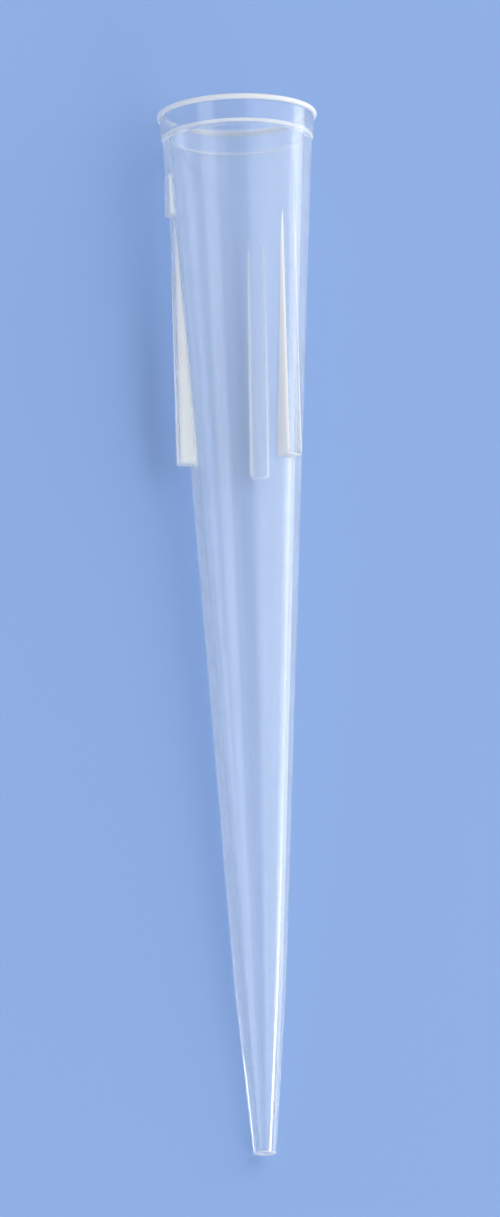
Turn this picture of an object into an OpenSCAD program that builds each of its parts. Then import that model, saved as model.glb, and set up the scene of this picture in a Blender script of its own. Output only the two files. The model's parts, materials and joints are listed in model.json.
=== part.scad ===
// Pipette tip for a 200 microlitre hand pipette: one thin-walled conical moulding,
// open at a flanged mouth and at a fine point, with lengthwise fins below the mouth.
// It is drawn along its own axis and then laid down as it rests on a table.

/* [Tip] */
// Overall length, from the point to the top of the rim
tip_length = 50; // [40:0.5:80]
// Diameter of the long cone where it meets the collar
cone_od = 7.06; // [5:0.02:10]
// Radial wall of the long cone
wall = 0.4; // [0.25:0.01:0.6]

/* [Mouth] */
// Height of the rounded bead around the rim
rim_height = 0.26; // [0.16:0.02:0.4]
// How far the bead stands out from the collar under it
rim_proud = 0.14; // [0.06:0.01:0.6]
// How far the collar stands out from the top of the long cone
collar_proud = 0.11; // [0.04:0.01:0.3]
// Height of the outside step from the collar down to the long cone
collar_step = 0.3; // [0.1:0.05:0.6]
// Radial wall of the collar around the straight recess
collar_wall = 0.21; // [0.14:0.01:0.3]
// Depth of the recess, from the rim to the top of the shoulder
recess_depth = 1.12; // [0.6:0.02:2]
// Height of the sloping shoulder at the bottom of the recess
shoulder_height = 0.25; // [0.1:0.05:0.6]
// Rounding of the rim's inner edge
mouth_round = 0.08; // [0.02:0.01:0.12]

/* [Point] */
// Length of the steeper cone that ends in the point
point_length = 8; // [4:0.5:14]
// Diameter where the long cone meets the point cone
neck_od = 2.42; // [2:0.02:3.2]
// Diameter of the point's flat end
point_od = 1.06; // [0.9:0.02:1.5]
// Diameter of the opening in the point
orifice_d = 0.48; // [0.3:0.02:0.7]

/* [Fins] */
// Number of fins, evenly spaced
fin_count = 3; // [2:1:6]
// Thickness of a fin
fin_thickness = 0.95; // [0.4:0.05:1.4]
// How far within the cone's widest radius a fin's outer face lies
fin_inset = 0.25; // [0.05:0.01:0.6]
// Depth of a fin's square end below the rim
fin_end_depth = 17.2; // [14:0.2:24]

/* [Tab] */
// Depth of the tab's upper end below the rim
tab_depth = 3.2; // [2:0.1:4]
// Length of the tab
tab_length = 1.9; // [1:0.1:2.4]
// How far the tab's upper end stands out from the cone
tab_proud = 0.06; // [0.02:0.01:0.15]
// Which fin the tab is in line with, counted from the lowest
tab_fin = 1; // [0:1:5]

/* [Rest] */
// How far the lowest fin is turned from straight down, or more where its end would touch
fin_turn = 45; // [0:0.5:60]

/* [Hidden] */
$fn = 96;

cut = 1;                                     // how far cutters run past a face
arc_steps = 6;                               // straight steps in each rounded edge

cone_r = cone_od / 2;
collar_r = cone_r + collar_proud;
rim_r = collar_r + rim_proud;
recess_r = collar_r - collar_wall;
neck_r = neck_od / 2;
point_r = point_od / 2;
orifice_r = orifice_d / 2;

shoulder_top = tip_length - recess_depth;
shoulder_foot = shoulder_top - shoulder_height;
cone_top = shoulder_top - collar_step;

// Outer radius of the long cone at height z above the point
function cone_radius(z) = neck_r + (cone_r - neck_r) * (z - point_length) / (cone_top - point_length);

// Points of a quarter turn or less about a centre, from one angle to another
function arc(centre, radius, from, to) = [
    for (i = [0:arc_steps])
        let (a = from + (to - from) * i / arc_steps)
            centre + radius * [cos(a), sin(a)]
];

// The bead is half round, and starts on the collar where it is thicker than it stands out
bead_round = rim_height / 2;
bead_centre = [rim_r - bead_round, tip_length - bead_round];
bead_start = -acos(max(0, collar_r - bead_centre.x) / bead_round);

fin_pitch = 360 / fin_count;
fin_end = tip_length - fin_end_depth;
fin_corner = [cone_r - fin_inset, fin_thickness / 2];
tab_top = tip_length - tab_depth;

// Lying down, the front of the tip rests on its point or on the neck above it
fronts = [[point_r, 0], [neck_r, point_length]];

// Lean at which both the front and a round edge of some radius at [r, z] touch the table
function lean_on(edge, edge_round) =
    min([for (p = fronts) atan((edge.x - p.x) / (edge.y - p.y)) + asin(edge_round / norm(edge - p))]);

// Its rear rests on the bead, rolled so far that the lowest fin's end clears the table.
// Where fins stand closer than that, two of them lift the rim.
rim_lean = lean_on(bead_centre, bead_round);
table_drop = bead_centre.x + bead_round / cos(rim_lean) - (bead_centre.y - fin_end) * tan(rim_lean);
corner_turn = atan(fin_corner.y / fin_corner.x);
touch_roll = corner_turn + acos(min(1, table_drop / norm(fin_corner)));
roll = min(max(fin_turn, touch_roll), fin_pitch / 2);
fin_drop = norm(fin_corner) * cos(roll - corner_turn);
lean = max(rim_lean, lean_on([fin_drop, fin_end], 0));

axis_height = max([for (p = fronts) p * [cos(lean), -sin(lean)]]);
far_end = bead_centre * [sin(lean), cos(lean)] + bead_round;
near_end = -point_r * sin(lean);

// Solid outer shape, without the fins
module outer_form() {
    rotate_extrude()
        polygon(concat(
            [[0, 0], [point_r, 0], [neck_r, point_length], [cone_r, cone_top]],
            [[collar_r, shoulder_top], [collar_r, tip_length - rim_height]],
            arc(bead_centre, bead_round, bead_start, 90),
            [[0, tip_length]]
        ));
}

// The hollow inside: point cone, long tapered socket, shoulder, straight recess and rounded lip
module hollow() {
    rotate_extrude()
        polygon(concat(
            [[0, -cut], [orifice_r, -cut], [orifice_r, 0], [neck_r - wall, point_length]],
            [[cone_radius(shoulder_foot) - wall, shoulder_foot], [recess_r, shoulder_top]],
            arc([recess_r + mouth_round, tip_length - mouth_round], mouth_round, 180, 90),
            [[recess_r + mouth_round, tip_length + cut], [0, tip_length + cut]]
        ));
}

// A straight rib on the +Y side, from the axis out to its flat outer face
module rib(reach, from_z, to_z) {
    translate([-fin_thickness / 2, 0, from_z])
        cube([fin_thickness, reach, to_z - from_z]);
}

// Fins run up from their square ends and die out where the cone grows as wide as they reach
module fins() {
    for (i = [0:fin_count - 1])
        rotate([0, 0, i * fin_pitch])
            rib(fin_corner.x, fin_end, cone_top);
}

// Short low tab above one of the fins
module tab() {
    rotate([0, 0, tab_fin * fin_pitch])
        rib(cone_radius(tab_top) + tab_proud, tab_top - tab_length, tab_top);
}

// Turns the upright tip onto its side, mouth towards +Y, lowest at z = 0 and centred in plan
module lie_down() {
    translate([0, -(near_end + far_end) / 2, axis_height])
        rotate([lean - 90, 0, 0])
            rotate([0, 0, -roll])
                children();
}

module tip() {
    color([0.88, 0.92, 0.96, 0.6])
        lie_down()
            difference() {
                union() {
                    outer_form();
                    fins();
                    tab();
                }
                hollow();
            }
}

tip();
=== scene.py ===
import json
import math

import bmesh
import bpy
from mathutils import Matrix, Vector


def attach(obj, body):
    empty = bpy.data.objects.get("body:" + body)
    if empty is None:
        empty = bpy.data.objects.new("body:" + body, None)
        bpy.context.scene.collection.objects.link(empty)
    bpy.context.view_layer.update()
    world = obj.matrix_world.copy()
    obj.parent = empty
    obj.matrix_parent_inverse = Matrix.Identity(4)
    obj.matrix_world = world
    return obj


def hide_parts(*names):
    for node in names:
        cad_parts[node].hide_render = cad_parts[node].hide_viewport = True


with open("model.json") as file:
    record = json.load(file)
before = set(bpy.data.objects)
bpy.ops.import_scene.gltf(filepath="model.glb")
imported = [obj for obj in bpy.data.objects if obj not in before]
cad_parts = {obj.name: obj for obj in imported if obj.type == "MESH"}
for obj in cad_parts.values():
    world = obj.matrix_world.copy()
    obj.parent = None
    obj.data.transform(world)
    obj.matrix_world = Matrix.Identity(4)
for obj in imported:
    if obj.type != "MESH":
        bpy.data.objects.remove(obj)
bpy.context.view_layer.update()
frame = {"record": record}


mm = 0.001
slack = 0.01              # how far from its place a point may lie and still count, in millimetres

# the moulding's sizes in millimetres, drawn upright with its point at height 0
tip = {
    "length": 50,
    "coneDiameter": 7.06,
    "wall": 0.4,
    "rimHeight": 0.26,
    "rimProud": 0.14,
    "beadFill": 0.995,        # how much of the bead's height its two roundings take
    "beadFootRound": 0.008,
    "collarProud": 0.11,
    "collarStep": 0.3,
    "collarWall": 0.21,
    "recessDepth": 1.12,
    "shoulderHeight": 0.25,
    "mouthRound": 0.08,
    "pointLength": 8,
    "neckDiameter": 2.42,
    "neckRound": 60,
    "pointDiameter": 1.06,
    "openingDiameter": 0.48,
    "pointRound": 0.05,
    "pointFrost": 0.06,       # how far up from the point's end the frosting reaches
    "stepRound": 0.1,
    "ledgeRound": 0.06,
    "crease": 0.005,          # how far the crease in the ledge stands off its slope
    "creaseRound": 0.02,
    "arcSteps": 6,            # straight steps in each rounded corner of the outline
    "turns": 256,             # steps round the axis
    "bevelSteps": 4,          # straight steps in each rounded edge of a fin or the tab
    "sharpFrom": 28,          # edges that bend by more degrees than this stay sharp
}
fins = {
    "count": 3,
    "thickness": 0.95,
    "inset": 0.25,
    "endDepth": 17.2,
    "overrun": 0.03,          # how far a fin runs on above where it meets the cone
    "edgeRound": 0.1,
    "cornerRound": 0.2,
}
tab = {
    "depth": 3.2,
    "length": 1.9,
    "proud": 0.06,
    "fin": 1,                 # the fin it is in line with, counted from the lowest
    "edgeRound": 0.04,
    "cornerRound": 0.06,
}

coneRadius = tip["coneDiameter"] / 2
collarRadius = coneRadius + tip["collarProud"]
rimRadius = collarRadius + tip["rimProud"]
recessRadius = collarRadius - tip["collarWall"]
neckRadius = tip["neckDiameter"] / 2
shoulderTop = tip["length"] - tip["recessDepth"]
shoulderFoot = shoulderTop - tip["shoulderHeight"]
coneTop = shoulderTop - tip["collarStep"]
coneSlope = (coneRadius - neckRadius) / (coneTop - tip["pointLength"])
finReach = coneRadius - fins["inset"]


def coneAt(height):
    return neckRadius + coneSlope * (height - tip["pointLength"])


def heightAt(radius):
    return tip["pointLength"] + (radius - neckRadius) / coneSlope


# a faint crease halfway down the ledge parts its frosted upper half, a white band painted in for the
# bright ring of light the ledge catches, from its clear lower half
innerFoot = coneAt(shoulderFoot) - tip["wall"]
ledgeMiddle = ((recessRadius + innerFoot) / 2 + tip["crease"], (shoulderTop + shoulderFoot) / 2)


def roundedLoop(corners, steps):
    # each corner is (radius, height, rounding); returns the closed outline with its corners as arcs
    points = []
    for i, (radius, height, rounding) in enumerate(corners):
        corner = Vector((radius, 0, height))
        before = Vector((corners[i - 1][0], 0, corners[i - 1][1])) - corner
        after = corners[(i + 1) % len(corners)]
        after = Vector((after[0], 0, after[1])) - corner
        before.normalize()
        after.normalize()
        half = before.angle(after) / 2
        centre = corner + (before + after).normalized() * rounding / math.sin(half)
        start = (corner + before * rounding / math.tan(half) - centre).normalized()
        end = (corner + after * rounding / math.tan(half) - centre).normalized()
        for step in range(steps + 1):
            points.append(centre + start.slerp(end, step / steps) * rounding)
    return points


def tipOutline():
    # up the outside from the point, over the rim, and down the inside
    bead = tip["rimHeight"] / 2 * tip["beadFill"]
    lowBead = tip["length"] - tip["rimHeight"]
    corners = [
        (tip["pointDiameter"] / 2, 0, tip["pointRound"]),
        (neckRadius, tip["pointLength"], tip["neckRound"]),
        (coneRadius, coneTop, tip["stepRound"]),
        (collarRadius, shoulderTop, tip["stepRound"]),
        (collarRadius, lowBead, tip["beadFootRound"]),
        (rimRadius, lowBead, bead),
        (rimRadius, tip["length"], bead),
        (recessRadius, tip["length"], tip["mouthRound"]),
        (recessRadius, shoulderTop, tip["ledgeRound"]),
        (ledgeMiddle[0], ledgeMiddle[1], tip["creaseRound"]),
        (innerFoot, shoulderFoot, tip["ledgeRound"]),
        (neckRadius - tip["wall"], tip["pointLength"], tip["neckRound"] / 2),
        (tip["openingDiameter"] / 2, 0, tip["pointRound"]),
    ]
    return roundedLoop(corners, tip["arcSteps"])


def finishedMesh(bm, name, materials):
    mesh = bpy.data.meshes.new(name)
    bm.to_mesh(mesh)
    bm.free()
    for material in materials:
        mesh.materials.append(material)
    return mesh


def frostShellAndPaintRing(bm):
    # the bead, the ledge's upper half and the point's end are frosted; the rest stays polished. The
    # ledge's frosted white is a painted highlight, standing in for the bright ring of light the ledge
    # catches
    outsideFrost = [(-slack, tip["pointFrost"]), (tip["length"] - tip["rimHeight"], tip["length"])]
    paintedRingFrost = [(ledgeMiddle[1], shoulderTop)]
    for face in bm.faces:
        middle = face.calc_center_median() / mm
        inside = middle.z > shoulderFoot and math.hypot(middle.x, middle.y) < recessRadius
        frost = paintedRingFrost if inside else outsideFrost
        face.material_index = int(any(low < middle.z < high for low, high in frost))


def shellMesh(finishes):
    bm = bmesh.new()
    points = [bm.verts.new(p * mm) for p in tipOutline()]
    for i, point in enumerate(points):
        bm.edges.new((points[i - 1], point))
    bmesh.ops.spin(
        bm,
        geom=bm.verts[:] + bm.edges[:],
        cent=(0, 0, 0),
        axis=(0, 0, 1),
        angle=math.tau,
        steps=tip["turns"],
        use_merge=True,
    )
    joinWithin = 1e-4 * mm
    bmesh.ops.remove_doubles(bm, verts=bm.verts, dist=joinWithin)
    bmesh.ops.recalc_face_normals(bm, faces=bm.faces)
    frostShellAndPaintRing(bm)
    return finishedMesh(bm, "shell", finishes)


def roundEdges(bm, edges, rounding):
    bmesh.ops.bevel(
        bm,
        geom=edges,
        offset=rounding * mm,
        offset_type="OFFSET",
        segments=tip["bevelSteps"],
        profile=0.5,
        affect="EDGES",
        material=-1,
    )


def addRib(bm, turn, low, high, reach, sizes):
    # a block whose slanted inner face lies halfway into the wall, so that it melts into the shell
    others = set(bm.verts)
    block = bmesh.ops.create_cube(bm, size=1)["verts"]
    for vert in block:
        height = high if vert.co.z > 0 else low
        inner = coneAt(height) - tip["wall"] / 2
        vert.co = Vector((vert.co.x * fins["thickness"], reach if vert.co.y > 0 else inner, height)) * mm
    outerFace = (reach - slack) * mm
    lowEnd = (low + slack) * mm
    corners = [
        edge
        for edge in bm.edges
        if all(vert not in others and vert.co.z < lowEnd for vert in edge.verts)
        and any(vert.co.y > outerFace for vert in edge.verts)
        and any(vert.co.y < outerFace for vert in edge.verts)
    ]
    roundEdges(bm, corners, sizes["cornerRound"])
    outline = [
        edge
        for edge in bm.edges
        if all(vert not in others and vert.co.y > outerFace for vert in edge.verts)
    ]
    roundEdges(bm, outline, sizes["edgeRound"])
    made = [vert for vert in bm.verts if vert not in others]
    bm.normal_update()
    # the flat outer face is polished; the sides, the ends and the roundings are frosted
    straightOut = 0.98
    for face in {face for vert in made for face in vert.link_faces}:
        face.material_index = 0 if face.normal.y > straightOut else 1
    bmesh.ops.rotate(bm, verts=made, cent=(0, 0, 0), matrix=Matrix.Rotation(turn, 3, "Z"))


def ribsMesh(lowFinTurn, finishes):
    bm = bmesh.new()
    pitch = math.tau / fins["count"]
    low = tip["length"] - fins["endDepth"]
    high = heightAt(math.hypot(finReach, fins["thickness"] / 2)) + fins["overrun"]
    for i in range(fins["count"]):
        addRib(bm, lowFinTurn + i * pitch, low, high, finReach, fins)
    tabTop = tip["length"] - tab["depth"]
    addRib(
        bm,
        lowFinTurn + tab["fin"] * pitch,
        tabTop - tab["length"],
        tabTop,
        coneAt(tabTop) + tab["proud"],
        tab,
    )
    bmesh.ops.recalc_face_normals(bm, faces=bm.faces)
    return finishedMesh(bm, "ribs", finishes)


def restingPlace():
    # the tip's own axis, rim and lowest fin, as the record's mounts give them
    mounts = {mount["name"]: mount for mount in frame["record"]["mounts"]}
    axis = Vector(mounts["mouth"]["axis"]).normalized()
    side = Vector((1, 0, 0))
    down = axis.cross(side)
    onAxis = Vector(mounts["mouth"]["pos_m"])
    rim = onAxis + axis * (Vector(mounts["rim_face"]["pos_m"]) - onAxis).dot(axis)
    point = rim - axis * tip["length"] * mm
    seat = Vector(mounts["rack_seat"]["pos_m"]) - point
    finTurn = -math.atan2(seat.dot(side), seat.dot(down))
    place = Matrix((side, down, axis)).transposed().to_4x4()
    place.translation = point
    return place, finTurn


def unionOf(shell, ribs):
    body = bpy.data.objects.new("shell", shell)
    tool = bpy.data.objects.new("ribs", ribs)
    for part in (body, tool):
        bpy.context.scene.collection.objects.link(part)
    union = body.modifiers.new("union", "BOOLEAN")
    union.operation = "UNION"
    union.solver = "EXACT"
    union.object = tool
    ready = body.evaluated_get(bpy.context.evaluated_depsgraph_get())
    mesh = bpy.data.meshes.new_from_object(ready)
    for part in (body, tool):
        bpy.data.objects.remove(part)
    return mesh


def makeTip(finishes):
    place, finTurn = restingPlace()
    mesh = unionOf(shellMesh(finishes), ribsMesh(finTurn, finishes))
    mesh.name = "pipetteTip"
    ownPlace = mesh.attributes.new("tipPlace", "FLOAT_VECTOR", "POINT")
    ownPlace.data.foreach_set("vector", [value / mm for vert in mesh.vertices for value in vert.co])
    mesh.transform(place)
    mesh.shade_smooth()
    mesh.set_sharp_from_angle(angle=math.radians(tip["sharpFrom"]))
    piece = bpy.data.objects.new("pipetteTip", mesh)
    bpy.context.scene.collection.objects.link(piece)
    return piece, place


# natural polypropylene: clear with a milky veil, and frosted where the mould wasn't polished; the
# frosted upper half of the ledge is painted light, a white band standing in for the bright ring of light
# it catches
plastic = {
    "polished": {"colour": (0.93, 0.955, 0.98, 1), "clear": 0.97, "roughness": 0.09, "grain": 0.03},
    # the frosted finish's cyan-blue tint is a painted blue cast standing in for the blue light around
    # the tip; the plastic itself is neutral white
    "frosted": {"colour": (0.93, 1, 1, 1), "clear": 0.05, "roughness": 0.45, "grain": 0.5},
    "ior": 1.49,
    "milk": 420,              # how often light is scattered inside, in times a metre
    # the milk's blue tint is likewise a painted blue cast of the light around the tip, not a colour of
    # the plastic
    "milkColour": (0.88, 0.95, 1, 1),
    "forward": 0.1,           # how far the milk scatters forwards
    "glow": 0.4,              # how far light spreads under a frosted face, in millimetres
    "shade": (0.97, 0.98, 0.99, 1),
}
mouldMarks = {
    "streaksPerMm": 1.2,      # across the tip
    "streakStretch": 0.05,    # how many of them there are along the tip for each one across it
    "streakDetail": 3,
    "streakGloss": (0.75, 1.3),       # what they multiply the roughness by, from least to most
    "streakDim": 0.95,        # what the darkest of them multiply the colour by
    "dimBetween": (0.4, 0.6),         # the noise values where they are darkest and where they end
    "grainPerMm": 7,
    "grainDetail": 3,
    "grainDepth": 0.01,       # in millimetres
}


def newMaterial(name):
    material = bpy.data.materials.new(name)
    material.use_nodes = True
    material.node_tree.nodes.clear()
    return material, material.node_tree.nodes, material.node_tree.links


def mathNode(nodes, links, operation, first, second):
    node = nodes.new("ShaderNodeMath")
    node.operation = operation
    links.new(first, node.inputs[0])
    links.new(second, node.inputs[1])
    return node.outputs["Value"]


def noiseNode(nodes, links, place, perMm, detail):
    node = nodes.new("ShaderNodeTexNoise")
    node.inputs["Scale"].default_value = perMm
    node.inputs["Detail"].default_value = detail
    links.new(place, node.inputs["Vector"])
    return node.outputs["Fac"]


def rangeNode(nodes, links, value, given, wanted, interpolation="LINEAR"):
    node = nodes.new("ShaderNodeMapRange")
    node.interpolation_type = interpolation
    node.inputs["From Min"].default_value = given[0]
    node.inputs["From Max"].default_value = given[1]
    node.inputs["To Min"].default_value = wanted[0]
    node.inputs["To Max"].default_value = wanted[1]
    links.new(value, node.inputs["Value"])
    return node.outputs["Result"]


def mouldGrain():
    # streaks along the tip from the flow of the plastic, and a fine grain from the mould's surface
    group = bpy.data.node_groups.new("mouldGrain", "ShaderNodeTree")
    for name in ("Roughness", "Grain"):
        group.interface.new_socket(name, in_out="INPUT", socket_type="NodeSocketFloat")
    group.interface.new_socket("Colour", in_out="INPUT", socket_type="NodeSocketColor")
    group.interface.new_socket("Colour", in_out="OUTPUT", socket_type="NodeSocketColor")
    group.interface.new_socket("Roughness", in_out="OUTPUT", socket_type="NodeSocketFloat")
    group.interface.new_socket("Normal", in_out="OUTPUT", socket_type="NodeSocketVector")
    nodes = group.nodes
    links = group.links
    given = nodes.new("NodeGroupInput")
    made = nodes.new("NodeGroupOutput")
    place = nodes.new("ShaderNodeAttribute")
    place.attribute_name = "tipPlace"

    stretch = nodes.new("ShaderNodeMapping")
    stretch.inputs["Scale"].default_value = (1, 1, mouldMarks["streakStretch"])
    links.new(place.outputs["Vector"], stretch.inputs["Vector"])
    flow = noiseNode(
        nodes,
        links,
        stretch.outputs["Vector"],
        mouldMarks["streaksPerMm"],
        mouldMarks["streakDetail"],
    )
    gloss = rangeNode(nodes, links, flow, (0, 1), mouldMarks["streakGloss"])
    roughness = mathNode(nodes, links, "MULTIPLY", given.outputs["Roughness"], gloss)
    links.new(roughness, made.inputs["Roughness"])
    dim = rangeNode(nodes, links, flow, mouldMarks["dimBetween"], (mouldMarks["streakDim"], 1))
    tint = nodes.new("ShaderNodeVectorMath")
    tint.operation = "SCALE"
    links.new(given.outputs["Colour"], tint.inputs["Vector"])
    links.new(dim, tint.inputs["Scale"])
    links.new(tint.outputs["Vector"], made.inputs["Colour"])

    grain = noiseNode(
        nodes,
        links,
        place.outputs["Vector"],
        mouldMarks["grainPerMm"],
        mouldMarks["grainDetail"],
    )
    bump = nodes.new("ShaderNodeBump")
    bump.inputs["Distance"].default_value = mouldMarks["grainDepth"] * mm
    links.new(given.outputs["Grain"], bump.inputs["Strength"])
    links.new(grain, bump.inputs["Height"])
    links.new(bump.outputs["Normal"], made.inputs["Normal"])
    return group


def plasticMaterial(name, grain, look):
    material, nodes, links = newMaterial(name)
    finish = nodes.new("ShaderNodeGroup")
    finish.node_tree = grain
    finish.inputs["Roughness"].default_value = look["roughness"]
    finish.inputs["Grain"].default_value = look["grain"]
    finish.inputs["Colour"].default_value = look["colour"]
    surface = nodes.new("ShaderNodeBsdfPrincipled")
    surface.inputs["IOR"].default_value = plastic["ior"]
    surface.inputs["Transmission Weight"].default_value = look["clear"]
    surface.inputs["Subsurface Weight"].default_value = 1
    surface.inputs["Subsurface Radius"].default_value = (1, 1, 1)
    surface.inputs["Subsurface Scale"].default_value = plastic["glow"] * mm
    links.new(finish.outputs["Colour"], surface.inputs["Base Color"])
    links.new(finish.outputs["Roughness"], surface.inputs["Roughness"])
    links.new(finish.outputs["Normal"], surface.inputs["Normal"])

    # shadow and diffuse rays pass straight through, so light reaches what lies behind
    shade = nodes.new("ShaderNodeBsdfTransparent")
    shade.inputs["Color"].default_value = plastic["shade"]
    ray = nodes.new("ShaderNodeLightPath")
    shadow = ray.outputs["Is Shadow Ray"]
    diffuse = ray.outputs["Is Diffuse Ray"]
    passing = mathNode(nodes, links, "MAXIMUM", shadow, diffuse)
    mix = nodes.new("ShaderNodeMixShader")
    links.new(passing, mix.inputs["Fac"])
    links.new(surface.outputs["BSDF"], mix.inputs[1])
    links.new(shade.outputs["BSDF"], mix.inputs[2])

    milk = nodes.new("ShaderNodeVolumeScatter")
    milk.inputs["Color"].default_value = plastic["milkColour"]
    milk.inputs["Density"].default_value = plastic["milk"]
    milk.inputs["Anisotropy"].default_value = plastic["forward"]
    output = nodes.new("ShaderNodeOutputMaterial")
    links.new(mix.outputs["Shader"], output.inputs["Surface"])
    links.new(milk.outputs["Volume"], output.inputs["Volume"])
    return material


studio = {
    "floor": (0.27, 0.42, 0.76, 1),
    "floorRoughness": 0.85,
    "floorShine": 0.1,
    "floorSize": 6.0,
    "even": 0.34,             # strength of the light from all sides
    "lampDistance": 0.6,
    "lampPeak": 2,            # how many times as bright a lamp's middle is as an even lamp
    "lampCore": 0.28,         # where it starts to fade, as a share of the lamp's width from its middle
    "lens": 400,
    "sensorHeight": 36,
    "clip": (0.01, 50),
    "frameHeight": 57.02,     # how much of the scene the picture takes in, in millimetres
    "turned": -30,            # how far round from straight above the camera stands, in degrees
    "towardsPoint": 13,       # how far it stands from square on, towards the point, in degrees
    "axisTilt": 1.56,         # how far the tip leans to the left in the picture, in degrees
    "centreBelowRim": 24.01,  # where along the tip the picture's centre is, in millimetres
}
# azimuths run from the tip's right side towards its mouth; sizes are in metres and power in watts
lamps = {
    "key": {"azimuth": 25, "elevation": 54, "size": (1.3, 1.6), "power": 4.0},
    "edge": {"azimuth": 12, "elevation": 10, "size": (0.9, 0.4), "power": 1.3},
    "end": {"azimuth": -70, "elevation": 38, "size": (0.5, 0.5), "power": 0.8},
    "fill": {"azimuth": 190, "elevation": 14, "size": (1.1, 0.4), "power": 1.0},
}


def makeCamera(place):
    turned = math.radians(studio["turned"])
    back = math.radians(studio["towardsPoint"])
    turn = place.to_3x3()
    towards = turn @ Vector((
        math.cos(back) * math.sin(turned),
        -math.cos(back) * math.cos(turned),
        -math.sin(back),
    ))
    axis = turn @ Vector((0, 0, 1))
    target = place @ Vector((0, 0, (tip["length"] - studio["centreBelowRim"]) * mm))
    along = (axis - towards * axis.dot(towards)).normalized()
    right = along.cross(towards)
    lean = math.radians(studio["axisTilt"])
    up = along * math.cos(lean) + right * math.sin(lean)
    distance = studio["frameHeight"] * mm * studio["lens"] / studio["sensorHeight"]
    data = bpy.data.cameras.new("camera")
    data.lens = studio["lens"]
    data.sensor_fit = "VERTICAL"
    data.sensor_height = studio["sensorHeight"]
    data.clip_start, data.clip_end = studio["clip"]
    camera = bpy.data.objects.new("camera", data)
    camera.matrix_world = Matrix((up.cross(towards), up, towards)).transposed().to_4x4()
    camera.matrix_world.translation = target + towards * distance
    bpy.context.scene.collection.objects.link(camera)
    bpy.context.scene.camera = camera


def towardsSky(azimuth, elevation):
    around = math.radians(azimuth)
    above = math.radians(elevation)
    return Vector((
        math.cos(around) * math.cos(above),
        math.sin(around) * math.cos(above),
        math.sin(above),
    ))


def softenEdges(light):
    # the lamp's face fades out from its middle, so that its light and its reflection have no hard edge
    light.use_nodes = True
    nodes = light.node_tree.nodes
    links = light.node_tree.links
    halfWidth = 0.5
    face = nodes.new("ShaderNodeNewGeometry")
    flat = nodes.new("ShaderNodeVectorMath")
    flat.operation = "MULTIPLY_ADD"
    flat.inputs[1].default_value = (1, 1, 0)
    flat.inputs[2].default_value = (-halfWidth, -halfWidth, 0)
    links.new(face.outputs["Parametric"], flat.inputs[0])
    fromMiddle = nodes.new("ShaderNodeVectorMath")
    fromMiddle.operation = "LENGTH"
    links.new(flat.outputs["Vector"], fromMiddle.inputs[0])
    fade = rangeNode(
        nodes,
        links,
        fromMiddle.outputs["Value"],
        (halfWidth, studio["lampCore"]),
        (0, studio["lampPeak"]),
        "SMOOTHSTEP",
    )
    links.new(fade, nodes["Emission"].inputs["Strength"])


def addLamp(name, sizes):
    direction = towardsSky(sizes["azimuth"], sizes["elevation"])
    data = bpy.data.lights.new(name, "AREA")
    data.shape = "RECTANGLE"
    data.size, data.size_y = sizes["size"]
    data.energy = sizes["power"]
    lamp = bpy.data.objects.new(name, data)
    lamp.location = direction * studio["lampDistance"]
    lamp.rotation_euler = direction.to_track_quat("Z", "Y").to_euler()
    lamp.visible_camera = False
    bpy.context.scene.collection.objects.link(lamp)
    softenEdges(data)


def makeWorld():
    # even white light, but the camera and rays that mirror in or pass through the plastic see the
    # floor's colour
    world = bpy.data.worlds.new("studio")
    world.use_nodes = True
    bpy.context.scene.world = world
    nodes = world.node_tree.nodes
    links = world.node_tree.links
    nodes.clear()
    light = nodes.new("ShaderNodeBackground")
    light.inputs["Color"].default_value = (1, 1, 1, 1)
    light.inputs["Strength"].default_value = studio["even"]
    backdrop = nodes.new("ShaderNodeBackground")
    backdrop.inputs["Color"].default_value = studio["floor"]
    ray = nodes.new("ShaderNodeLightPath")
    seen = ray.outputs["Is Camera Ray"]
    for kind in ("Is Glossy Ray", "Is Transmission Ray"):
        seen = mathNode(nodes, links, "MAXIMUM", seen, ray.outputs[kind])
    mix = nodes.new("ShaderNodeMixShader")
    links.new(seen, mix.inputs["Fac"])
    links.new(light.outputs["Background"], mix.inputs[1])
    links.new(backdrop.outputs["Background"], mix.inputs[2])
    output = nodes.new("ShaderNodeOutputWorld")
    links.new(mix.outputs["Shader"], output.inputs["Surface"])


def makeFloor():
    bm = bmesh.new()
    bmesh.ops.create_grid(bm, x_segments=2, y_segments=2, size=studio["floorSize"] / 2)
    material, nodes, links = newMaterial("paleFloor")
    surface = nodes.new("ShaderNodeBsdfPrincipled")
    surface.inputs["Base Color"].default_value = studio["floor"]
    surface.inputs["Roughness"].default_value = studio["floorRoughness"]
    surface.inputs["Specular IOR Level"].default_value = studio["floorShine"]
    output = nodes.new("ShaderNodeOutputMaterial")
    links.new(surface.outputs["BSDF"], output.inputs["Surface"])
    floor = bpy.data.objects.new("floor", finishedMesh(bm, "floor", [material]))
    bpy.context.scene.collection.objects.link(floor)


grain = mouldGrain()
finishes = (
    plasticMaterial("polishedPolypropylene", grain, plastic["polished"]),
    # the frosted finish also paints in the ledge's bright ring of light as white
    plasticMaterial("frostedPolypropyleneAndPaintedRing", grain, plastic["frosted"]),
)
print("finishes:", ", ".join(finish.name for finish in finishes))
piece, place = makeTip(finishes)
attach(piece, "root")
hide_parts("tip")
print("moulding:", len(piece.data.vertices), "vertices,", len(piece.data.polygons), "faces")

makeCamera(place)
makeFloor()
makeWorld()
for name, sizes in lamps.items():
    addLamp(name, sizes)
scene = bpy.context.scene
scene.view_settings.view_transform = "Standard"
scene.cycles.caustics_refractive = False
scene.cycles.volume_bounces = 8
scene.cycles.max_bounces = 24
scene.cycles.glossy_bounces = 16
scene.cycles.transmission_bounces = 16
print("studio ready")
